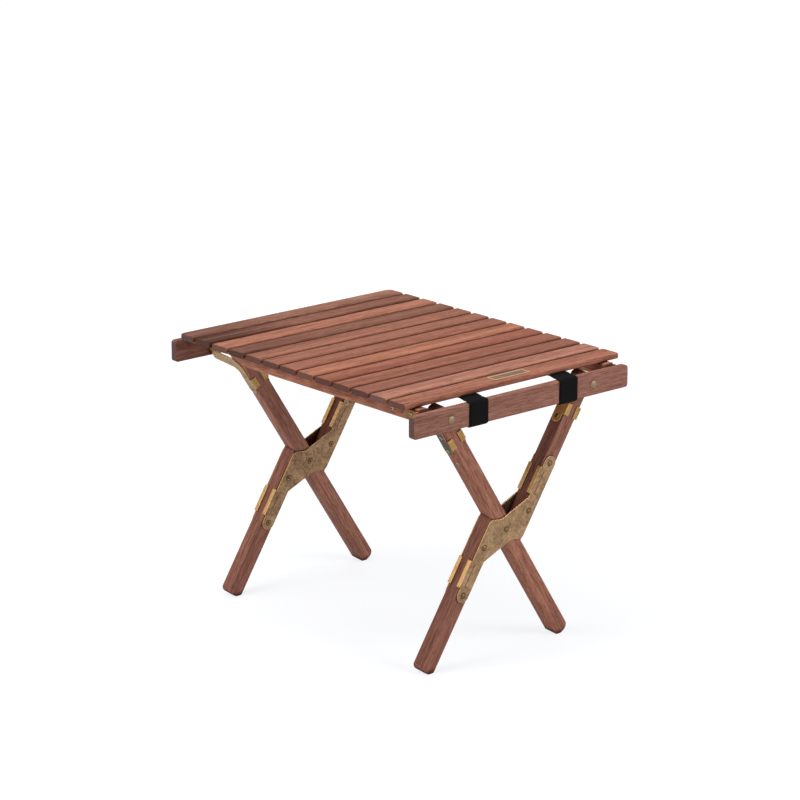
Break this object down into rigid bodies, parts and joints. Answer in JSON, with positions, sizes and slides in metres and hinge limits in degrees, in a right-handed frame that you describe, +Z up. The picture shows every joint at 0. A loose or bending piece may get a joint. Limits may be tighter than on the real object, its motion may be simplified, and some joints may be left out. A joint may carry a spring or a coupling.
{
  "type": "roll top camp table",
  "caption": "Low folding camp table: a roll-up slatted wood top on webbing bands, carried by rails on folding X-shaped leg frames with stamped brass cross plates.",
  "frame": {"origin": "on the floor, under the middle of the table", "axes": "+X along the slats, +Y along the table away from the nameplate end, +Z up"},
  "size_m": [0.45, 0.6032, 0.4618],
  "materials": {
    "wood": "oiled reddish brown walnut",
    "brass": "antique, dull with bright edges",
    "webbing": "black flat weave"
  },
  "bodies": {
    "root": {"near_end_rail": "wood", "far_end_rail": "wood", "left_side_rail": "wood", "right_side_rail": "wood", "corner_brackets": "brass", "side_rail_screws": "brass", "near_bolts": "brass", "far_bolts": "brass", "slat_13": "wood", "webbing_13": "webbing", "near_strap_loops": "webbing", "nameplate": "brass"},
    "slat_12": {"slat_12": "wood", "webbing_12": "webbing"},
    "slat_11": {"slat_11": "wood", "webbing_11": "webbing"},
    "slat_10": {"slat_10": "wood", "webbing_10": "webbing"},
    "slat_9": {"slat_9": "wood", "webbing_9": "webbing"},
    "slat_8": {"slat_8": "wood", "webbing_8": "webbing"},
    "slat_7": {"slat_7": "wood", "webbing_7": "webbing"},
    "slat_6": {"slat_6": "wood", "webbing_6": "webbing"},
    "slat_5": {"slat_5": "wood", "webbing_5": "webbing"},
    "slat_4": {"slat_4": "wood", "webbing_4": "webbing"},
    "slat_3": {"slat_3": "wood", "webbing_3": "webbing"},
    "slat_2": {"slat_2": "wood", "webbing_2": "webbing"},
    "slat_1": {"slat_1": "wood", "webbing_1": "webbing", "far_strap_loops": "webbing"},
    "near_leg_a": {"near_leg_a": "wood", "near_leg_a_top_plates": "brass", "near_leg_a_rivets": "brass"},
    "near_leg_b": {"near_leg_b_upper": "wood", "near_leg_b_lower": "wood", "near_front_plate": "brass", "near_back_plate": "brass", "near_centre_rivet": "brass", "near_leg_b_top_plates": "brass", "near_leg_b_rivets": "brass"},
    "far_leg_a": {"far_leg_a": "wood", "far_leg_a_bracket": "brass", "far_leg_a_rivets": "brass"},
    "far_leg_b": {"far_leg_b_upper": "wood", "far_leg_b_lower": "wood", "far_front_plate": "brass", "far_back_plate": "brass", "far_centre_rivet": "brass", "far_leg_b_bracket": "brass", "far_leg_b_rivets": "brass"}
  },
  "joints": [
    {"name": "near_fold", "type": "hinge", "parent": "root", "child": "near_leg_a", "pos_m": [-0.15, -0.26818, 0.43], "axis": [0, 0.9959, 0.0906], "range_deg": [0, 30]},
    {"name": "near_cross", "type": "hinge", "parent": "near_leg_a", "child": "near_leg_b", "pos_m": [0, -0.24847, 0.2134], "axis": [0, 0.9959, 0.0906], "range_deg": [-60, 0]},
    {"name": "far_fold", "type": "hinge", "parent": "root", "child": "far_leg_a", "pos_m": [-0.1398, 0.21516, 0.41527], "axis": [0, 0.9959, 0.0906], "range_deg": [0, 30]},
    {"name": "far_cross", "type": "hinge", "parent": "far_leg_a", "child": "far_leg_b", "pos_m": [0, 0.23353, 0.2134], "axis": [0, 0.9959, 0.0906], "range_deg": [-60, 0]},
    {"name": "roll_12", "type": "hinge", "parent": "root", "child": "slat_12", "pos_m": [0, -0.23705, 0.45], "axis": [1, 0, 0], "range_deg": [0, 24]},
    {"name": "roll_11", "type": "hinge", "parent": "slat_12", "child": "slat_11", "pos_m": [0, -0.19395, 0.45], "axis": [1, 0, 0], "range_deg": [0, 24]},
    {"name": "roll_10", "type": "hinge", "parent": "slat_11", "child": "slat_10", "pos_m": [0, -0.15085, 0.45], "axis": [1, 0, 0], "range_deg": [0, 24]},
    {"name": "roll_9", "type": "hinge", "parent": "slat_10", "child": "slat_9", "pos_m": [0, -0.10775, 0.45], "axis": [1, 0, 0], "range_deg": [0, 24]},
    {"name": "roll_8", "type": "hinge", "parent": "slat_9", "child": "slat_8", "pos_m": [0, -0.06465, 0.45], "axis": [1, 0, 0], "range_deg": [0, 24]},
    {"name": "roll_7", "type": "hinge", "parent": "slat_8", "child": "slat_7", "pos_m": [0, -0.02155, 0.45], "axis": [1, 0, 0], "range_deg": [0, 24]},
    {"name": "roll_6", "type": "hinge", "parent": "slat_7", "child": "slat_6", "pos_m": [0, 0.02155, 0.45], "axis": [1, 0, 0], "range_deg": [0, 24]},
    {"name": "roll_5", "type": "hinge", "parent": "slat_6", "child": "slat_5", "pos_m": [0, 0.06465, 0.45], "axis": [1, 0, 0], "range_deg": [0, 24]},
    {"name": "roll_4", "type": "hinge", "parent": "slat_5", "child": "slat_4", "pos_m": [0, 0.10775, 0.45], "axis": [1, 0, 0], "range_deg": [0, 24]},
    {"name": "roll_3", "type": "hinge", "parent": "slat_4", "child": "slat_3", "pos_m": [0, 0.15085, 0.45], "axis": [1, 0, 0], "range_deg": [0, 24]},
    {"name": "roll_2", "type": "hinge", "parent": "slat_3", "child": "slat_2", "pos_m": [0, 0.19395, 0.45], "axis": [1, 0, 0], "range_deg": [0, 24]},
    {"name": "roll_1", "type": "hinge", "parent": "slat_2", "child": "slat_1", "pos_m": [0, 0.23705, 0.45], "axis": [1, 0, 0], "range_deg": [0, 24]}
  ],
  "couplings": [
    {"joint": "near_cross", "follows": "near_fold", "ratio": -2},
    {"joint": "far_cross", "follows": "far_fold", "ratio": -2}
  ]
}
